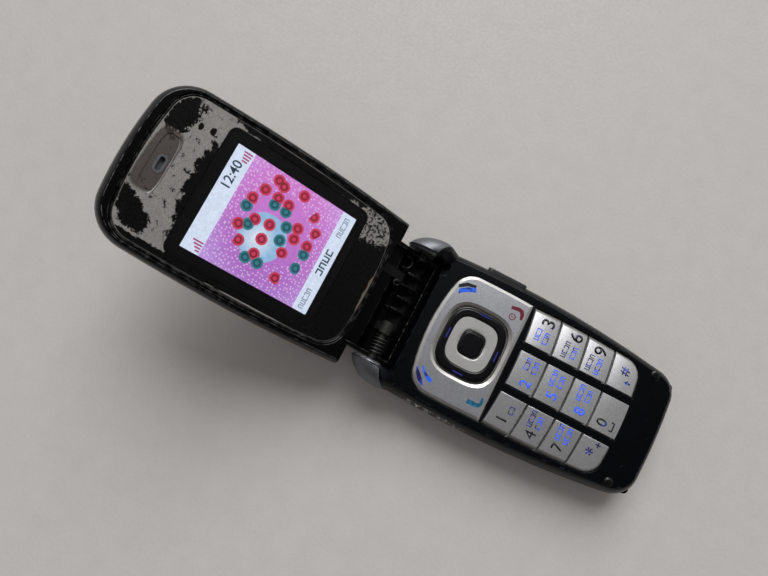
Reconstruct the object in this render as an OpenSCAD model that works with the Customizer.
// Flip phone, open, lying on its back.
// X runs along the hinge, Y from the keypad end to the lid, Z up.
// The origin is the centre of the flat back. Lengths are in millimetres.

/* [Base] */
// Length from the hinge axis to the free end of the base
base_l = 80.8; // [78:0.1:86]
// Greatest width of the base
base_w = 44.5; // [43.5:0.1:47]
// Height of the keypad surface above the table
base_t = 12.6; // [12.4:0.1:12.8]
// Distance from the hinge axis to the widest place of the base
base_widest = 28; // [20:1:40]
// Radius of the bowed free end of the base
base_end_r = 170; // [120:1:300]
// Radius of the free corners of the base
base_corner_r = 7.5; // [6:0.5:9]
// Wall of the base shells
base_wall = 1.3; // [1:0.1:1.5]
// Height of the seam between the two base shells
seam_z = 8.2; // [8:0.1:8.4]

/* [Lid] */
// Length from the hinge axis to the free end of the lid
lid_l = 79.2; // [77:0.1:84]
// Thickness of the lid
lid_t = 10.3; // [10:0.1:11.5]
// Distance from the hinge axis to the widest place of the lid
lid_widest = 34; // [25:1:40]
// Radius of the bowed sides of the lid
lid_side_r = 520; // [450:10:700]
// Radius of the bowed free end of the lid
lid_end_r = 110; // [90:1:200]
// Radius of the free corners of the lid
lid_corner_r = 10.5; // [9:0.5:12]
// Wall of the lid shells
lid_wall = 1.2; // [1:0.1:1.4]
// Depth of the seam between the two lid shells, from the face
lid_seam = 4.4; // [4.2:0.1:4.6]
// Distance from the hinge axis to the shoulders of the lid
shoulder = 7.6; // [7.6:0.1:8.4]

/* [Hinge] */
// Height of the hinge axis, which lies in the plane where the halves meet
hinge_z = 13; // [13:0.05:13.2]
// Angle between the halves when the lid is open
open_angle = 154.35; // [150:0.05:158]
// Radius of the hinge barrel
barrel_r = 6.2; // [5.8:0.1:6.4]
// Wall of the hinge barrel
barrel_wall = 1.1; // [1:0.1:1.4]
// Running gap round the barrel
barrel_gap = 0.5; // [0.4:0.1:0.6]
// Radius of the two hinge shafts
shaft_r = 1; // [0.8:0.1:1.2]
// Radial running clearance of the shafts
shaft_clear = 0.05; // [0.03:0.01:0.08]
// Number of webs in the barrel
web_count = 4; // [2:1:4]
// Distance between the webs in the barrel
web_pitch = 3.6; // [3.4:0.1:3.8]

/* [Keys] */
// Distance from the hinge axis to the first row of number keys
keypad_start = 35.8; // [35.7:0.1:36.2]
// Width of a key in the middle column
key_w = 10.2; // [9.8:0.1:10.4]
// Gap between two columns of keys
column_gap = 2.4; // [2.2:0.1:2.6]
// Radius of the arc that the rows of keys follow
row_arc_r = 113; // [100:1:160]
// Radius of the free corners of the keypad field
keypad_corner_r = 5; // [4:0.5:6]
// Clearance round a key
key_clear = 0.25; // [0.2:0.05:0.3]
// Travel of a key
key_travel = 0.3; // [0.2:0.05:0.35]
// Height of a key top above the keypad surface
key_proud = 0.35; // [0.2:0.05:0.35]

/* [Direction ring] */
// Width of the direction ring
ring_w = 19; // [18:0.1:19.4]
// Width of the select key
select_w = 6.9; // [6.4:0.1:7.2]
// Length of the select key
select_l = 6.4; // [6:0.1:6.6]

/* [Lid face] */
// Distance from the hinge axis to the face plate
face_start = 9.9; // [9.6:0.1:10.4]
// Distance from the face plate to the free end of the lid
face_margin = 3.9; // [3.7:0.1:4.4]
// Distance from the hinge axis to the window
window_start = 19.3; // [19:0.1:19.6]
// Distance from the hinge axis to the picture area
picture_start = 22; // [21.8:0.1:22.4]
// Width of the earpiece slot
ear_slot_w = 3.8; // [3:0.1:5]
// Length of the earpiece slot
ear_slot_l = 1.6; // [1.2:0.1:1.8]

/* [Inside] */
// Distance from the hinge axis to the battery bay
bay_start = 15.5; // [15.3:0.1:15.7]
// Thickness of the battery
battery_t = 4.4; // [4:0.1:4.5]
// Thickness of the battery cover
cover_t = 1.1; // [1:0.05:1.15]
// Travel of the battery cover until it can be lifted
cover_travel = 5; // [3:0.5:5]
// Radius of the charging socket
socket_r = 1.05; // [0.9:0.05:1.25]
// Length of the charging socket
socket_l = 5.5; // [4.5:0.1:6]
// Thickness of a circuit board
board_t = 1; // [0.8:0.1:1]
// Radius of a screw shank
screw_r = 0.7; // [0.6:0.05:0.8]

/* [Hidden] */
$fn = 48;
CORNER_STEPS = 10;
SIDE_STEPS = 8;
END_STEPS = 4;

EPS = 0.01;
SEAT = 0.05;              // gap between two pieces that seat on each other
hinge_y = base_l / 2;
lid_rise = 180 - open_angle;

// Sizes that follow the two halves
lid_w = base_w + 0.3;
barrel_w = base_w - 12.7;
plate_w = base_w - 8.9;
keypad_w = base_w - 9.3;
row_pitch = (base_l - keypad_start - 11.6) / 4;
key_l = row_pitch - 0.6;
plate_end = keypad_start - 2.3;
plate_l = plate_end - barrel_r - barrel_gap - 3.3;
ring_at = plate_end - plate_l / 2 + 0.95;
ring_l = plate_l - 6.3;
dish_w = ring_w - 5;
dish_l = ring_l - 4.4;
face_w = lid_w - 5.6;
window_w = lid_w - 9.8;
window_l = lid_l - 37.4;
picture_w = window_w - 6.45;
picture_l = window_l - 6.1;
bay_w = base_w - 9.9;
bay_l = base_l - 25.8;
battery_w = bay_w - 0.6;
battery_l = bay_l - 17;
can_x = base_w / 2 - 6.25;
// Radius of the bowed sides of the base, which keeps the width of its free end
base_side_r = 313 * pow((base_l - base_widest) / 52.8, 2);

// Heights in the base
parting_gap = 0.15;                          // from the hinge plane to the lid's rim
key_top = base_t + key_proud;
mat_top = 10.4;
mat_t = 0.55;
mat_bottom = mat_top - mat_t;
key_bottom = mat_top + key_travel + SEAT;
collar_bottom = mat_top + 0.4;
collar_t = 0.2;
plate_bottom = collar_bottom + collar_t + 0.3;
board_bottom = seam_z + 0.25;
board_top = board_bottom + board_t;
board_inset = base_wall + 1.5;
frame_under = 11.2;
ceiling_top = 6.5;                           // divides the battery bay from the board
ceiling_bottom = 5.9;
floor_t = 1.2;
cover_gap = 0.1;
end_floor = 2;                               // floor over the cover, beyond the bay
saddle_r = barrel_r + barrel_gap;
frame_room_start = saddle_r + 1.6;
tongue = 1.5;                                // the floor reaches this far past the axis
ear_x = barrel_w / 2 + 0.35;                 // inner face of the hinge arms
ear_floor = 5.6;                             // the caps stand on the lower shell here
core_r = 2.8;                                // radius of the arm inside the cap
core_x = base_w / 2 - 2.85;

// The edge rounding of a shell: height against how far it is drawn in
base_edge = [[0, 3.2], [0.5, 2.0], [1.2, 1.15], [2.4, 0.5], [4.2, 0.1], [6.5, 0],
    [8.6, 0.15], [10.2, 0.6], [11.3, 1.15], [12.1, 1.75], [base_t, 2.35]];
lid_edge = [[0, 1.35], [0.3, 0.95], [1.1, 0.42], [2.4, 0.1], [3.8, 0], [5.6, 0.1],
    [7.2, 0.55], [8.6, 1.4], [9.6, 2.6], [lid_t - parting_gap, 4.4]];

// The discs that shape an arm: share of its width, place, drop and radius
ear_r = 5.6;
ear_steps = 10;
ear_discs = concat([[0, 0, 0, 4.7]],
    [for (i = [1 : ear_steps]) let (t = 0.995 * sin(90 * i / ear_steps))
        [t, 4.1 * pow(t, 1.4), 1.5 * t * t, ear_r * pow(1 - pow(t, 4), 0.55)]]);

// The edge where the cap ends and the arm shows, an elliptic arc seen from above
cap_edge_at = [ear_x - 0.65, 10];
cap_edge_r = [7, 7.2];

// Keypad grid
key_names = ["key_1", "key_2", "key_3", "key_4", "key_5", "key_6",
    "key_7", "key_8", "key_9", "key_star", "key_0", "key_hash"];
COLUMNS = 3;
ROWS = 4;
keypad_end = keypad_start + (ROWS - 1) * row_pitch + key_l + 0.3;
side_key_w = (keypad_w - key_w) / 2 - column_gap;

// Free-end pieces
near_x = base_w / 2 - 4.15;
far_x = base_w / 2 - 8.05;
screw_spots = [[near_x, 10.6], [-near_x, 10.6], [far_x, base_l - 5.9], [-far_x, base_l - 5.9]];
lid_near_x = lid_w / 2 - 5.8;
lid_far_x = lid_w / 2 - 9;
lid_screw_spots = [[lid_near_x, 13.6], [-lid_near_x, 13.6], [lid_far_x, lid_l - 7.4],
    [-lid_far_x, lid_l - 7.4]];
end_face = base_l - 0.45;                    // front of the sockets in the end wall
jack_x = -(far_x + 2.8) / 2;                 // midway between a screw post and the contacts
jack_z = 4.6;
connector_x = far_x - 9.7;
bumper_x = base_w / 2 - 6.25;
bumper_at = base_l - 8.8;
bay_end = bay_start + bay_l;
battery_start = bay_end - 0.5 - battery_l;
sim_w = 25;
sim_l = 15;

// Depths in the lid, below its face plane
panel_top = 0.45;
panel_t = 0.55;
panel_bottom = panel_top + panel_t;
floor_bottom = panel_bottom + 0.8;
display_top = floor_bottom + SEAT;
display_t = 2.4;
lid_board_top = display_top + display_t + SEAT;
lid_board_bottom = lid_board_top + 0.7;
back_window_t = 0.9;
face_end = lid_l - face_margin;
knuckle_top = 1.2;                           // top of the webs below the hinge plane

// ---------------------------------------------------------------- outlines

// Centre of the fillet between a bowed side and a bowed end
function fillet_at(half, vm, rs, ve, re, rc) =
    let (c1 = [half - rs, vm], c2 = [0, ve - re], d = c2 - c1, l = norm(d),
        a = ((rs - rc) * (rs - rc) - (re - rc) * (re - rc) + l * l) / (2 * l),
        h = sqrt((rs - rc) * (rs - rc) - a * a), u = d / l)
    c1 + a * u + h * [-u[1], u[0]];

// Right half of a free end, drawn in by d: the fillet, then half of the end arc
function end_half(half, vm, rs, ve, re, rc, d) =
    let (p = fillet_at(half, vm, rs, ve, re, rc), c1 = [half - rs, vm], c2 = [0, ve - re],
        a1 = atan2(p[1] - c1[1], p[0] - c1[0]), a2 = atan2(p[1] - c2[1], p[0] - c2[0]),
        r = max(rc - d, 0.05))
    concat(
        [for (i = [0 : CORNER_STEPS]) let (a = a1 + (a2 - a1) * i / CORNER_STEPS)
            p + r * [cos(a), sin(a)]],
        [for (i = [1 : END_STEPS]) let (a = a2 + (90 - a2) * i / END_STEPS)
            c2 + (re - d) * [cos(a), sin(a)]]);

// Right side from v0 up to the fillet
function side_half(v0, half, vm, rs, ve, re, rc, d) =
    let (p = fillet_at(half, vm, rs, ve, re, rc), c1 = [half - rs, vm],
        a0 = asin((v0 - vm) / (rs - d)), a1 = atan2(p[1] - c1[1], p[0] - c1[0]))
    [for (i = [0 : SIDE_STEPS - 1]) let (a = a0 + (a1 - a0) * i / SIDE_STEPS)
        c1 + (rs - d) * [cos(a), sin(a)]];

function mirrored(half_points) =
    concat(half_points, [for (i = [len(half_points) - 2 : -1 : 0])
        [-half_points[i][0], half_points[i][1]]]);

// Right side and free end, from v0 to the middle of the end arc
function free_half(v0, half, vm, rs, ve, re, rc, d) =
    concat(side_half(v0, half, vm, rs, ve, re, rc, d),
        end_half(half, vm, rs, ve, re, rc, d));

// Outline with one free end and a straight cut at v0
function open_outline(v0, half, vm, rs, ve, re, rc, d) =
    mirrored(free_half(v0, half, vm, rs, ve, re, rc, d));

// Outline with two free ends
function panel_outline(half, rs, lo, lo_r, hi, hi_r, rc, d) =
    let (vm = (lo + hi) / 2,
        low = free_half(vm, half, vm, rs, 2 * vm - lo, lo_r, rc, d),
        high = free_half(vm, half, vm, rs, hi, hi_r, rc, d),
        right = concat([for (i = [len(low) - 1 : -1 : 1]) [low[i][0], 2 * vm - low[i][1]]],
            high))
    concat(right, [for (i = [len(right) - 2 : -1 : 1]) [-right[i][0], right[i][1]]]);

function squircle(w, l, n = 3.4, steps = 48) =
    [for (i = [0 : steps - 1]) let (a = 360 * i / steps, c = cos(a), s = sin(a),
        k = pow(pow(abs(c), n) + pow(abs(s), n), -1 / n))
        [w / 2 * k * c, l / 2 * k * s]];

function base_outline(v0, d) =
    open_outline(v0, base_w / 2, base_widest, base_side_r, base_l, base_end_r,
        base_corner_r, d);
function lid_outline(v0, d) =
    open_outline(v0, lid_w / 2, lid_widest, lid_side_r, lid_l, lid_end_r, lid_corner_r, d);
function keypad_outline(d) =
    open_outline(keypad_start - 6, keypad_w / 2, keypad_start + 7, 250, keypad_end,
        row_arc_r, keypad_corner_r, d);
function face_outline(d) =
    panel_outline(face_w / 2, 420, face_start, 90, face_end, 95, 6.5, d);
function window_outline(d) =
    panel_outline(window_w / 2, 900, window_start, 600, window_start + window_l, 600, 2.2, d);
function plate_outline(d) =
    let (top = plate_l, half = plate_w / 2)
    open_outline(d, half, plate_l * 0.45, 240, top, 58, 6, d);

// How far an arc of the key rows falls behind its middle
function bow(x) = row_arc_r - sqrt(row_arc_r * row_arc_r - x * x);
function column_x(col) = (col - 1) * (key_w / 2 + column_gap + side_key_w / 2);
function column_half(col) = (col == 1 ? key_w : side_key_w) / 2;
function row_v(row) = keypad_start + row * row_pitch;

// ---------------------------------------------------------------- placing

// Base places are measured from the hinge axis towards the free end
module on_base() {
    translate([0, hinge_y, 0]) mirror([0, 1, 0]) children();
}

// Lid places: y runs along the lid, z out of its face
module on_lid() {
    translate([0, hinge_y, hinge_z]) rotate([lid_rise, 0, 0]) children();
}

module slab(points, z0, z1) {
    translate([0, 0, z0]) linear_extrude(z1 - z0) polygon(points);
}

module block(x0, x1, y0, y1, z0, z1) {
    translate([x0, y0, z0]) cube([x1 - x0, y1 - y0, z1 - z0]);
}

module rod_x(r, x0, x1) {
    translate([x0, 0, 0]) rotate([0, 90, 0]) cylinder(r = r, h = x1 - x0);
}

module rod_z(r, x, y, z0, z1) {
    translate([x, y, z0]) cylinder(r = r, h = z1 - z0);
}

module both_sides() {
    children();
    mirror([1, 0, 0]) children();
}

// ---------------------------------------------------------------- base shells

// Both base shells are cut from this rounded body
module base_body() {
    hull() for (e = base_edge)
        slab(base_outline(e[1] * 0.8 - tongue, e[1]), e[0] - (e[0] == base_t ? EPS : 0),
            e[0] + (e[0] == base_t ? 0 : EPS));
}

module saddle() {
    translate([0, 0, hinge_z]) rod_x(saddle_r, -ear_x, ear_x);
}

// Rounded arm that rises over the hinge axis, right side
module ear_dome() {
    outer_x = base_w / 2;
    hull() {
        for (d = ear_discs)
            translate([ear_x + d[0] * (outer_x - ear_x), d[1], hinge_z - d[2]])
                rotate([0, 90, 0]) cylinder(r = d[3], h = EPS, $fn = 60);
        translate([outer_x - 3.5, 8.2, hinge_z - 4.8]) sphere(r = 2.8, $fn = 32);
        translate([outer_x - 3.1, 0, ear_floor + 2]) sphere(r = 2.4, $fn = 32);
        block(ear_x, outer_x - 1.2, 0.4 - tongue, 9, ear_floor, ear_floor + 0.5);
    }
}

// Everything on the lid's side of the cap's edge, above the floor it stands on
module cap_region(gap) {
    slab(concat([[cap_edge_at[0], -60], [60, -60], [60, cap_edge_at[1] + gap]],
        [for (i = [0 : CORNER_STEPS]) let (a = 90 * i / CORNER_STEPS)
            cap_edge_at + [cap_edge_r[0] * cos(a), gap - cap_edge_r[1] * sin(a)]]),
        ear_floor, 60);
}

// The arm inside the cap, on the hinge axis
module ear_core(grow) {
    translate([0, 0, hinge_z]) rod_x(core_r + grow, ear_x + 0.6 - grow, core_x + grow);
    block(ear_x + 0.6 - grow, core_x + grow, 0, cap_edge_at[1] - cap_edge_r[1] + 2.4,
        hinge_z - 2.4 - grow, hinge_z + 1 + grow);
}

// Fine groove that parts the dome of a cap from its polished inner rim
module cap_groove() {
    groove_t = 0.16;
    translate([ear_x + 0.65, 0, hinge_z]) rotate([0, 0, -8.6]) difference() {
        rod_x(8, -groove_t / 2, groove_t / 2);
        rod_x(ear_r - 0.4, -groove_t, groove_t);
    }
}

module hinge_cap() {
    difference() {
        intersection() {
            ear_dome();
            cap_region(0);
        }
        ear_core(SEAT);
        cap_groove();
        translate([0, 0, hinge_z]) rod_x(shaft_r + 0.1, 0, core_x);
    }
}

module screw_column(spot, z0, z1) {
    rod_z(2.2, spot[0], spot[1], z0, z1);
}

module base_lower_housing() {
    color("#2b2c30") on_base() difference() {
        union() {
            difference() {
                base_body();
                block(-60, 60, -60, 120, seam_z, 60);
                // Room above the ceiling, for the board's underside
                slab(base_outline(room_start, base_wall + 0.5), ceiling_top, seam_z + EPS);
                // Hinge end
                block(-base_w / 2 + 2.6, base_w / 2 - 2.6, saddle_r + 0.6, bay_start - 0.8,
                    floor_t, ceiling_top + EPS);
                // Free end
                intersection() {
                    slab(base_outline(9, base_wall + 0.6), end_floor, ceiling_top + EPS);
                    block(-60, 60, bay_end + 0.8, 120, 0, 60);
                }
                // Battery bay, open to the back
                block(-bay_w / 2, bay_w / 2, bay_start, bay_end, -EPS, ceiling_bottom);
                // Seat of the cover and the grooves for its tongues
                block(-cover_half - cover_gap, cover_half + cover_gap, cover_start - cover_gap,
                    120, -EPS, cover_t + cover_gap);
                block(-tongue_half - cover_gap, tongue_half + cover_gap,
                    cover_start - cover_gap, tongue_end + cover_travel + 0.2,
                    cover_t * 0.45, cover_t + cover_gap);
            }
            intersection() {
                for (s = screw_spots)
                    screw_column(s, (s[1] < bay_start ? floor_t : end_floor) - 0.2, board_bottom);
                slab(base_outline(room_start, board_inset), 0, 60);
            }
            // Small rounded posts at the free corners
            both_sides() rod_z(1.4, corner_post_x, base_l - 2.3, 4.4, seam_z - SEAT);
        }
        saddle();
        // The caps and arms stand here
        both_sides() cap_region(SEAT);
        for (s = screw_spots) {
            rod_z(screw_r + 0.15, s[0], s[1], -EPS, board_bottom + EPS);
            rod_z(1.75, s[0], s[1], -EPS, screw_head_z + 1.2);
        }
        speaker_slots();
        // Holes for the two sockets in the end wall
        translate([jack_x, base_l - 6, jack_z]) rotate([-90, 0, 0]) cylinder(r = 2.1, h = 20);
        block(connector_x - 6.1, connector_x + 6.1, base_l - 6, 120, 2.9, 6.1);
        // Way through the ceiling for the battery contacts
        block(-5.1, 5.1, bay_end - EPS, bay_end + 2.9, 2.2, ceiling_top + 1);
    }
}

room_start = saddle_r + 0.9;
corner_post_x = base_w / 2 - 6.85;
cover_half = bay_w / 2 - 0.4;
tongue_half = bay_w / 2 + 0.15;
cover_start = bay_start - 0.6;
tongue_end = bay_end - 6;
screw_head_z = cover_t + 0.3;
speaker_x = near_x - 17.5;

module speaker_slots() {
    for (i = [0 : 4])
        block(speaker_x + 1.7 + i * 2.6, speaker_x + 2.9 + i * 2.6, 9.2, 13.2, -EPS,
            floor_t + EPS);
}

module base_upper_frame() {
    color("#17181b") on_base() difference() {
        union() {
            difference() {
                union() {
                    difference() {
                        base_body();
                        both_sides() cap_region(SEAT);
                    }
                    both_sides() difference() {
                        ear_dome();
                        cap_region(SEAT);
                    }
                }
                block(-60, 60, -60, 120, 0, seam_z);
                // Hollow under the keypad surface
                slab(base_outline(frame_room_start, base_wall + 1.2), seam_z - EPS,
                    frame_under);
            }
            both_sides() ear_core(0);
            for (s = screw_spots)
                screw_column(s, board_top, frame_under + EPS);
        }
        saddle();
        block(-ear_x, ear_x, -60, 0, 0, 60);
        for (s = screw_spots)
            rod_z(screw_r, s[0], s[1], seam_z, frame_under - 0.3);
        // Opening of the function plate
        translate([0, plate_end, 0]) mirror([0, 1, 0])
            slab(plate_outline(-key_clear), frame_under - EPS, 60);
        for (col = [0 : COLUMNS - 1])
            column_opening(col);
        bumper_pockets();
        // Bores for the two shafts
        translate([0, 0, hinge_z]) rod_x(shaft_r, -core_x - EPS, core_x + EPS);
        // Broken corner of the neck at the right arm
        translate([ear_x, 0, 0])
            slab([[-4.45, 4], [0.65, 4], [0.75, 6.6], [0.85, 8], [-0.25, 8.2], [-1.05, 7.9],
                [-2.45, 7.8], [-2.85, 7]], hinge_z - 2.4, 60);
        rocker_slot();
    }
}

module column_opening(col) {
    x = column_x(col);
    h = column_half(col) + key_clear;
    top = row_v(0) - key_clear;
    bottom = keypad_end + key_clear;
    intersection() {
        slab(keypad_outline(-key_clear), frame_under - EPS, 60);
        slab(concat(
            [for (i = [0 : 4]) let (px = x - h + i * h / 2) [px, top - bow(px)]],
            [for (i = [4 : -1 : 0]) let (px = x - h + i * h / 2) [px, bottom - bow(px) + 0.2]]),
            frame_under - EPS, 60);
    }
}

module bumper_pockets() {
    for (side = [-1, 1])
        rod_z(1.35, side * bumper_x, bumper_at, base_t - 0.7, 60);
}

module rest_bumpers() {
    color("#0c0c0d") on_base() for (side = [-1, 1]) {
        rod_z(1.3, side * bumper_x, bumper_at, base_t - 0.7, base_t + 0.2);
        rod_z(0.95, side * bumper_x, bumper_at, base_t + 0.2, base_t + 0.42);
    }
}

module hinge_cap_right() { color("#b9bcc0") on_base() hinge_cap(); }
module hinge_cap_left() { color("#b9bcc0") on_base() mirror([1, 0, 0]) hinge_cap(); }

// ---------------------------------------------------------------- keypad stack

module keypad_mat() {
    color("#d8d8d2") on_base() {
        difference() {
            slab(base_outline(mat_start, 3.6), mat_bottom, mat_top);
            block(-60, 60, mat_end, 120, 0, 60);
            for (s = screw_spots)
                rod_z(2.4, s[0], s[1], 0, 60);
        }
        block(-11, 11, mat_start, mat_start + 1, board_top, frame_under);
        block(-11, 11, mat_end - 1.2, mat_end, board_top, frame_under);
    }
}

mat_start = frame_room_start + 0.3;
mat_end = base_l - 6.6;

dome_spots = concat(
    [for (col = [0 : COLUMNS - 1], row = [0 : ROWS - 1])
        [column_x(col), row_v(row) + key_l / 2 - bow(column_x(col))]],
    [[0, ring_at], [7.6, ring_at], [-7.6, ring_at], [0, ring_at - 7], [0, ring_at + 7]],
    [for (side = [-1, 1], v = [plate_end - 17.9, plate_end - 3.9])
        [side * (plate_w / 2 - 4.2), v]]);

module dome_sheet() {
    film_t = 0.1;
    dome_h = mat_bottom - board_top - film_t;
    dome_r = 2;
    ball_r = (dome_r * dome_r + dome_h * dome_h) / (2 * dome_h);
    color("#c9c4b4") on_base() {
        block(-keypad_w / 2 + 0.5, keypad_w / 2 - 0.5, 13.3, base_l - 11.4, board_top,
            board_top + film_t);
        for (s = dome_spots)
            intersection() {
                translate([s[0], s[1], board_top + film_t + dome_h - ball_r]) sphere(r = ball_r);
                rod_z(dome_r, s[0], s[1], board_top + film_t / 2, mat_bottom);
            }
    }
}

module main_board() {
    color("#1f5d3a") on_base() difference() {
        slab(base_outline(frame_room_start + 0.5, board_inset), board_bottom, board_top);
        for (s = screw_spots)
            rod_z(screw_r + 0.2, s[0], s[1], 0, 60);
    }
}

module can(x0, x1, y0, y1) {
    sheet = 0.25;
    difference() {
        block(x0, x1, y0, y1, ceiling_top + SEAT, board_bottom);
        block(x0 + sheet, x1 - sheet, y0 + sheet, y1 - sheet,
            ceiling_top + SEAT + sheet, board_bottom + EPS);
    }
}

module shield_cans() {
    color("#a9adb2") on_base() {
        can(-can_x, -1, 18, 40);
        can(1, can_x, 18, 34);
        can(1, can_x, 37, base_l - 20.8);
    }
}

module keypad_leds() {
    color("#e8eef5") on_base() for (side = [-1, 1], row = [0 : ROWS - 1])
        translate([side * (key_w / 2 + 1.3), row_v(row) - 0.6, 0])
            block(-0.4, 0.4, -0.8, 0.8, board_top + 0.1, mat_bottom);
}

// ---------------------------------------------------------------- power, radio, sockets

module battery() {
    color("#3b4a66") on_base() block(-battery_w / 2, battery_w / 2, battery_start,
        battery_start + battery_l, cover_t + 0.15, cover_t + 0.15 + battery_t);
}

module battery_contacts() {
    color("#c8a24a") on_base() {
        block(-5, 5, bay_end + 0.1, bay_end + 2.8, 2.3, board_bottom);
        for (x = [-3, 0, 3])
            block(x - 0.4, x + 0.4, battery_start + battery_l, bay_end + 0.2, 3, 4.2);
    }
}

module sim_holder() {
    color("#8f9296") on_base() difference() {
        block(-sim_w / 2 - 1.2, sim_w / 2 + 1.2, bay_start + 0.3, bay_start + sim_l + 1,
            ceiling_bottom - 1.8, ceiling_bottom);
        block(-sim_w / 2 - 0.1, sim_w / 2 + 0.1, bay_start + 0.6, bay_start + sim_l + 2,
            ceiling_bottom - 1.5, ceiling_bottom - 0.5);
        block(-8, 8, bay_start + 3, bay_start + sim_l + 2, 0, ceiling_bottom - 1);
    }
}

module sim_card() {
    color("#e6e2d6") on_base() block(-sim_w / 2, sim_w / 2, bay_start + 0.7,
        bay_start + 0.7 + sim_l, ceiling_bottom - 1.45, ceiling_bottom - 0.65);
}

module loudspeaker() {
    color("#55585c") on_base() {
        block(speaker_x, speaker_x + 15, 8, bay_start - 0.9, floor_t, floor_t + 2.6);
        block(speaker_x + 2, speaker_x + 13, 9, bay_start - 1.5, floor_t + 2.6, floor_t + 3);
    }
}

module microphone() {
    color("#9a9da1") on_base() rod_z(1.3, 7, base_l - 4.4, board_top, frame_under);
}

motor_r = 1.9;
motor_at = [2.5 - near_x, 11.2];
module vibration_motor() {
    color("#8d9093") on_base() translate([0, motor_at[1], floor_t + motor_r])
        rod_x(motor_r, motor_at[0], motor_at[0] + 8);
}

module vibration_weight() {
    gap = 0.3;
    x0 = motor_at[0] + 8 + gap;
    color("#6d6a63") on_base() translate([0, motor_at[1], floor_t + motor_r]) {
        difference() {
            rod_x(motor_r - 0.25, x0, x0 + 3);
            block(x0 - EPS, x0 + 3 + EPS, -motor_r, motor_r, 0.5, motor_r);
        }
    }
}

module charging_jack() {
    chamber_l = 2.4;
    color("#44474b") on_base() translate([jack_x, end_face, jack_z]) mirror([0, 1, 0]) {
        difference() {
            union() {
                block(-2.2, 2.2, 2.2, socket_l + chamber_l + 0.6, -2.4, ceiling_top - jack_z);
                rotate([-90, 0, 0]) cylinder(r = 2, h = 4);
            }
            rotate([-90, 0, 0]) translate([0, 0, -EPS])
                cylinder(r = socket_r, h = socket_l + 2 * EPS);
            // Wider chamber for the contact spring and pin
            rotate([-90, 0, 0]) translate([0, 0, socket_l])
                cylinder(r = socket_r + 0.35, h = chamber_l);
        }
        rotate([-90, 0, 0]) translate([0, 0, socket_l + 0.8])
            cylinder(r = 0.3, h = chamber_l - 0.8 + EPS);
    }
}

module system_connector() {
    color("#2a2b2d") on_base() translate([connector_x, end_face, 0]) mirror([0, 1, 0]) {
        difference() {
            block(-6, 6, 0, 5, 3, 6);
            block(-5, 5, -EPS, 3.6, 3.8, 5.4);
        }
        for (i = [0 : 6])
            block(-4.4 + i * 1.4, -3.9 + i * 1.4, 0.6, 3.7, 3.8 - EPS, 4.1);
    }
}

module internal_antenna() {
    color("#b58b52") on_base() {
        block(0.5 - can_x, can_x - 0.5, saddle_r + 1.2, bay_start - 1.2, ceiling_top - 1.2,
            ceiling_top - 0.4);
        for (x = [-9, 9])
            block(x - 1, x + 1, frame_room_start + 0.8, frame_room_start + 2.6,
                ceiling_top - 0.4, board_bottom);
    }
}

module screw(z_head, z_tip) {
    difference() {
        cylinder(r = 1.5, h = 1);
        translate([-0.9, -0.2, -EPS]) cube([1.8, 0.4, 0.4]);
        translate([-0.2, -0.9, -EPS]) cube([0.4, 1.8, 0.4]);
    }
    translate([0, 0, 1 - EPS]) cylinder(r = screw_r, h = z_tip - z_head - 1);
}

module housing_screws() {
    color("#8b8f94") on_base() for (s = screw_spots)
        translate([s[0], s[1], screw_head_z + 0.2])
            screw(screw_head_z + 0.2, frame_under - 0.4);
}

// ---------------------------------------------------------------- hinge shafts

module hinge_pin() {
    color("#9fa3a8") translate([0, hinge_y, hinge_z])
        rod_x(shaft_r, barrel_inside - 0.6, core_x);
}

module hinge_nose() {
    color("#9fa3a8") translate([0, hinge_y, hinge_z])
        rod_x(shaft_r, -core_x, -barrel_w / 2 + 8.6);
}

// ---------------------------------------------------------------- keys

module plate_collar() {
    color("#c4c4be") on_base() difference() {
        translate([0, plate_end, 0]) mirror([0, 1, 0])
            slab(plate_outline(1), collar_bottom, collar_bottom + collar_t);
        translate([0, ring_at, 0]) slab(squircle(ring_w + 2, ring_l + 2), 0, 60);
    }
}

module function_plate() {
    color("#b4b6b9") on_base() difference() {
        translate([0, plate_end, 0]) mirror([0, 1, 0]) {
            slab(plate_outline(0), plate_bottom, key_top - 0.25);
            slab(plate_outline(0.45), key_top - 0.26, key_top);
        }
        translate([0, ring_at, 0]) {
            slab(squircle(ring_w + 1, ring_l + 1), 0, 60);
            slab(squircle(ring_w + 1.9, ring_l + 1.9), key_top - 0.25, 60);
        }
    }
}

module nav_collar() {
    color("#c4c4be") on_base() translate([0, ring_at, 0]) difference() {
        slab(squircle(ring_w - 1, ring_l - 1), collar_bottom, collar_bottom + collar_t);
        slab(squircle(select_w + 1, select_l + 1), 0, 60);
    }
}

module nav_ring() {
    color("#0b0b0d") on_base() translate([0, ring_at, 0]) difference() {
        union() {
            slab(squircle(ring_w, ring_l), plate_bottom, key_top - 0.3);
            slab(squircle(ring_w - 0.8, ring_l - 0.8), key_top - 0.31, key_top + 0.05);
        }
        slab(squircle(dish_w, dish_l), key_top - 0.9, 60);
        slab(squircle(select_w + 0.6, select_l + 0.6), 0, 60);
    }
}

module nav_dish() {
    color("#b9bbbe") on_base() translate([0, ring_at, 0]) difference() {
        slab(squircle(dish_w - 0.1, dish_l - 0.1), key_top - 0.9 + SEAT, key_top - 0.1);
        slab(squircle(select_w + 0.6, select_l + 0.6), 0, 60);
        translate([0, 0, key_top + 24.05]) sphere(r = 24.6);
    }
}

module select_key() {
    color("#101014") on_base() translate([0, ring_at, 0]) {
        slab(squircle(select_w, select_l), key_bottom, key_top - 0.3);
        slab(squircle(select_w - 0.5, select_l - 0.5), key_top - 0.31, key_top - 0.05);
    }
}

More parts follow.
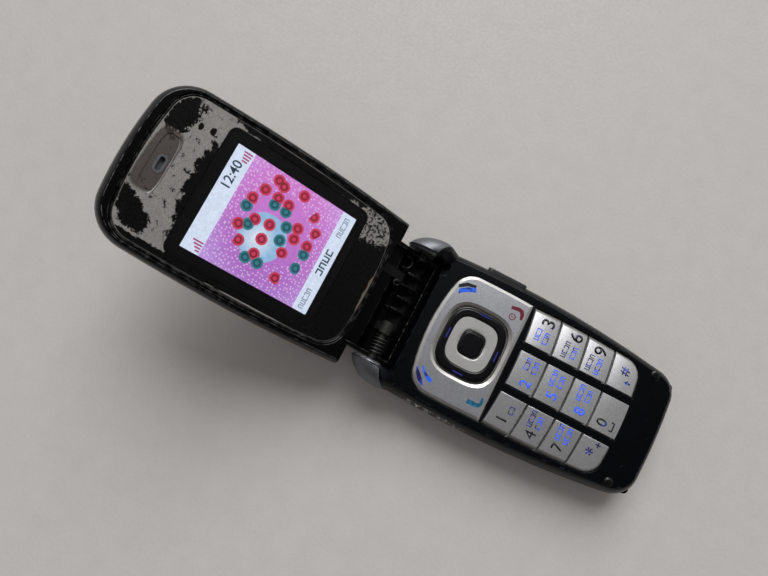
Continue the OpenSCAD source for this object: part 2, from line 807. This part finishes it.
module number_key(col, row) {
    x = column_x(col);
    h = column_half(col);
    v = row_v(row);
    long = row == ROWS - 1 ? 0.3 : 0;
    color("#b2b4b7") on_base() intersection() {
        slab(keypad_outline(0), key_bottom, key_top);
        slab(concat(
            [for (i = [0 : 4]) let (px = x - h + i * h / 2) [px, v - bow(px)]],
            [for (i = [4 : -1 : 0]) let (px = x - h + i * h / 2)
                [px, v + key_l + long - bow(px)]]), key_bottom, key_top);
    }
}

module rocker_body(grow, depth) {
    half_l = 6;
    half_t = 1.05;
    x0 = base_w / 2 - 2.1;
    for (end = [-1, 1])
        translate([x0 - depth, rocker_at + end * (half_l - half_t), rocker_z])
            rotate([0, 90, 0]) cylinder(r = half_t + grow, h = 2.2 + depth + 3 * grow);
    block(x0 - depth, x0 + 2.2 + 3 * grow, rocker_at - half_l + half_t,
        rocker_at + half_l - half_t, rocker_z - half_t - grow, rocker_z + half_t + grow);
}
rocker_at = 24;
rocker_z = 9.95;
module rocker_slot() { rocker_body(0.25, 0.5); }
module volume_rocker() { color("#26272a") on_base() rocker_body(0, 0); }

module battery_cover() {
    color("#3a3c41") on_base() {
        intersection() {
            base_body();
            block(-cover_half, cover_half, cover_start, 120, -1, cover_t);
        }
        block(-tongue_half, tongue_half, cover_start + 0.5, tongue_end,
            cover_t * 0.45 + cover_gap, cover_t);
    }
}

// ---------------------------------------------------------------- lid shells

// Both lid shells are cut from this rounded body
module lid_body() {
    hull() for (e = lid_edge)
        slab(lid_outline(shoulder + e[1] * 0.35, e[1]),
            -parting_gap - e[0] - (e[0] == 0 ? EPS : 0),
            -parting_gap - e[0] + (e[0] == 0 ? 0 : EPS));
}

// Section of the neck between the barrel and the lid
module barrel_neck() {
    reach = shoulder + 0.6;
    translate([-barrel_w / 2, 0, 0]) rotate([90, 0, 90]) linear_extrude(barrel_w)
        polygon([[0, -parting_gap], [reach, -parting_gap], [reach, -lid_seam + 0.05],
            [shoulder - 0.15, -lid_seam + 0.05], [shoulder - 0.15, -lid_t + 1.1],
            [3.6, -barrel_r - 0.95], [0, -barrel_r]]);
}

module lid_inner_housing() {
    web_t = 0.5;
    color("#141417") on_lid() {
        difference() {
            union() {
                difference() {
                    lid_body();
                    block(-60, 60, -60, 120, -60, -lid_seam);
                    // Hollow behind the face
                    slab(lid_outline(shoulder + 2, lid_wall + 0.5), -lid_seam - EPS,
                        -floor_bottom);
                }
                barrel_neck();
                intersection() {
                    rod_x(barrel_r, -barrel_w / 2, barrel_w / 2);
                    block(-60, 60, -60, 60, -60, -parting_gap);
                }
                for (s = lid_screw_spots)
                    rod_z(1.7, s[0], s[1], -lid_seam - 1.2, -floor_bottom + EPS);
            }
            // Recess of the face plate and window, and the groove round it
            slab(face_outline(-0.1), -panel_bottom, 60);
            difference() {
                slab(face_outline(-0.75), -0.75, 60);
                slab(face_outline(-0.35), -60, 60);
            }
            // Picture opening and sound hole
            block(-picture_w / 2 - 1.025, picture_w / 2 + 1.025, picture_start - 0.8,
                picture_start + picture_l + 0.8, -60, 0);
            block(-ear_slot_w / 2, ear_slot_w / 2, ear_at - ear_slot_l / 2,
                ear_at + ear_slot_l / 2, -3, 0);
            // Open barrel
            rod_x(barrel_r - barrel_wall, -barrel_inside, barrel_inside);
            block(-barrel_inside, barrel_inside, 0, face_start - 0.9, -2.2, 60);
            rod_x(shaft_r + shaft_clear, -barrel_w, barrel_w);
            for (s = lid_screw_spots)
                rod_z(screw_r, s[0], s[1], -60, 0);
            // Notches beside the barrel stay open for the arms
            both_sides() block(barrel_w / 2, 60, -60, shoulder - EPS, -60, 60);
        }
        // Webs in the barrel
        for (i = [0 : web_count - 1])
            intersection() {
                rod_x(barrel_r - 0.5, -barrel_inside, barrel_inside);
                block(web_x0 - i * web_pitch - web_t / 2, web_x0 - i * web_pitch + web_t / 2,
                    -3.6, 1.2, -barrel_r, -knuckle_top);
            }
        // Ring boss and the half ring beside it, on the floor of the barrel
        difference() {
            rod_z(1, boss_x, 3.1, -4.6, -1.1);
            rod_z(0.55, boss_x, 3.1, -2.4, 0);
        }
        difference() {
            rod_z(1.9, half_ring_x, 3.2, -4.8, -0.8);
            rod_z(1.45, half_ring_x, 3.2, -60, 60);
            block(half_ring_x - 2, half_ring_x + 2, 3.6, 6, -60, 60);
        }
    }
}
barrel_inside = barrel_w / 2 - barrel_wall;
web_x0 = barrel_inside - 5.05;
boss_x = barrel_inside - 9.2;
half_ring_x = barrel_inside - 2.8;
ear_at = lid_l - 8.8;

module lid_outer_housing() {
    inner_bottom = lid_t - lid_wall;
    color("#1b1c20") on_lid() difference() {
        union() {
            difference() {
                lid_body();
                block(-60, 60, -60, 120, -lid_seam, 60);
                slab(lid_outline(shoulder + 1.8, lid_wall + 1.6), -inner_bottom,
                    -lid_seam + EPS);
            }
            for (s = lid_screw_spots)
                rod_z(1.7, s[0], s[1], -inner_bottom - 0.3, -lid_seam - 1.2 - SEAT);
        }
        for (s = lid_screw_spots)
            rod_z(screw_r, s[0], s[1], -inner_bottom + 0.6, 0);
        block(-back_window_w / 2 - 0.1, back_window_w / 2 + 0.1, back_window_at - 0.1,
            back_window_at + back_window_l + 0.1, -60, -lid_t + back_window_t);
        block(-back_window_w / 2 + 1, back_window_w / 2 - 1, back_window_at + 1,
            back_window_at + back_window_l - 1, -60, 0);
        rod_z(camera_r + 0.1, 0, camera_at, -60, 0);
    }
}
camera_r = 3.2;
camera_at = lid_l - 13.2;
back_window_w = 24;
back_window_l = 17;
back_window_at = camera_at - 25;

module lid_face_plate() {
    color("#8d8f90") on_lid() difference() {
        slab(face_outline(0), -panel_bottom + SEAT, -panel_top);
        slab(window_outline(-0.08), -60, 60);
        block(-ear_slot_w / 2, ear_slot_w / 2, ear_at - ear_slot_l / 2,
            ear_at + ear_slot_l / 2, -60, 60);
        // Shallow earpiece dish
        translate([0, ear_at + 0.3, 0])
            slab(squircle(15, 4.6, 4), -panel_top - 0.2, 60);
    }
}

module lid_window() {
    color("#1a1a26") on_lid()
        slab(window_outline(0), -panel_bottom + SEAT, -panel_top - 0.05);
}

// ---------------------------------------------------------------- lid inside

module main_display() {
    glass_t = 0.9;
    color("#a98bd6") on_lid() {
        block(-picture_w / 2, picture_w / 2, picture_start, picture_start + picture_l,
            -display_top - glass_t, -display_top + 0.5);
        block(-window_w / 2 + 0.5, window_w / 2 - 0.5, picture_start - 2.4,
            picture_start + picture_l + 3,
            -display_top - display_t, -display_top - 0.02);
    }
}

module lid_board() {
    color("#1f5d3a") on_lid() difference() {
        slab(lid_outline(shoulder + 3.4, lid_wall + 2), -lid_board_bottom, -lid_board_top);
        for (s = lid_screw_spots)
            rod_z(1.9, s[0], s[1], -60, 0);
    }
}

module sub_display() {
    color("#6c7680") on_lid() block(-back_window_w / 2 + 1.2, back_window_w / 2 - 1.2,
        back_window_at + 1.2, back_window_at + back_window_l - 1.2,
        -lid_t + back_window_t + SEAT, -lid_board_bottom);
}

module outer_window() {
    color("#15161a") on_lid() block(-back_window_w / 2, back_window_w / 2, back_window_at,
        back_window_at + back_window_l, -lid_t + 0.02, -lid_t + back_window_t - 0.02);
}

module camera_module() {
    color("#303236") on_lid() difference() {
        union() {
            rod_z(camera_r, 0, camera_at, -lid_t + 0.02, -lid_board_bottom);
            block(-4.2, 4.2, camera_at - 4.2, camera_at + 4.2, -lid_board_bottom - 2.4,
                -lid_board_bottom);
        }
        translate([0, camera_at, -lid_t - EPS]) cylinder(r1 = 2.2, r2 = 1.2, h = 0.8);
    }
}

module earpiece() {
    color("#6a6d70") on_lid()
        block(-6, 6, ear_at - 3, ear_at + 2.6, -lid_board_top + SEAT, -display_top);
}

module hinge_cartridge() {
    x0 = -barrel_w / 2 + 7.4;
    color("#7d8084") on_lid() difference() {
        union() {
            rod_x(1.7, x0, x0 + 3.4);
            block(x0 + 0.6, x0 + 2.8, -1.2, 1.2, -barrel_r + barrel_wall + 0.2, -0.5);
        }
        rod_x(shaft_r + shaft_clear, x0 - EPS, x0 + 1.3);
    }
}

// A visible coil round the left shaft
coil_turns = 5;
coil_steps = 16;
coil_sides = 6;
coil_r = 1.6;
wire_r = 0.22;
coil_x0 = -barrel_inside + 0.4;
coil_l = 5.2;
function coil_point(i) = let (a = 360 * i / coil_steps, n = coil_turns * coil_steps)
    [coil_x0 + wire_r + (coil_l - 2 * wire_r) * i / n, coil_r * cos(a), coil_r * sin(a)];
function coil_ring(i) = let (a = 360 * i / coil_steps, p = coil_point(i))
    [for (k = [0 : coil_sides - 1]) let (b = 360 * k / coil_sides)
        p + wire_r * [sin(b), cos(b) * cos(a), cos(b) * sin(a)]];

module hinge_spring() {
    n = coil_turns * coil_steps;
    m = coil_sides;
    color("#a7a294") on_lid() polyhedron(
        points = [for (i = [0 : n]) each coil_ring(i)],
        faces = concat(
            [[for (k = [m - 1 : -1 : 0]) k]],
            [for (i = [0 : n - 1], k = [0 : m - 1]) each
                [[i * m + k, i * m + (k + 1) % m, (i + 1) * m + k],
                 [i * m + (k + 1) % m, (i + 1) * m + (k + 1) % m, (i + 1) * m + k]]],
            [[for (k = [0 : m - 1]) n * m + k]]));
}

module hinge_flex() {
    color("#b0702c") on_lid() {
        block(boss_x + 1, boss_x + 3.6, 1.4, face_start - 1, -2.2, -2);
    }
}

module lid_magnet() {
    color("#5c5f63") on_lid() block(lid_w / 2 - 9.9, lid_w / 2 - 5.9, ear_at - 4.6, ear_at - 2,
        -lid_board_top + SEAT, -display_top);
}

module lid_screws() {
    color("#8b8f94") on_lid() for (s = lid_screw_spots)
        translate([s[0], s[1], -panel_bottom - 0.02]) mirror([0, 0, 1]) {
            cylinder(r = screw_r, h = lid_t - 3);
        }
}

// ---------------------------------------------------------------- pieces

base_lower_housing();
base_upper_frame();
hinge_cap_left();
hinge_cap_right();
rest_bumpers();
keypad_mat();
dome_sheet();
main_board();
shield_cans();
keypad_leds();
battery();
battery_contacts();
sim_holder();
sim_card();
loudspeaker();
microphone();
vibration_motor();
vibration_weight();
charging_jack();
system_connector();
internal_antenna();
housing_screws();
hinge_pin();
hinge_nose();
plate_collar();
function_plate();
nav_collar();
nav_ring();
nav_dish();
select_key();
for (i = [0 : len(key_names) - 1])
    number_key(i % COLUMNS, floor(i / COLUMNS));
volume_rocker();
battery_cover();
lid_inner_housing();
lid_outer_housing();
lid_face_plate();
lid_window();
main_display();
lid_board();
sub_display();
outer_window();
camera_module();
earpiece();
hinge_cartridge();
hinge_spring();
hinge_flex();
lid_magnet();
lid_screws();
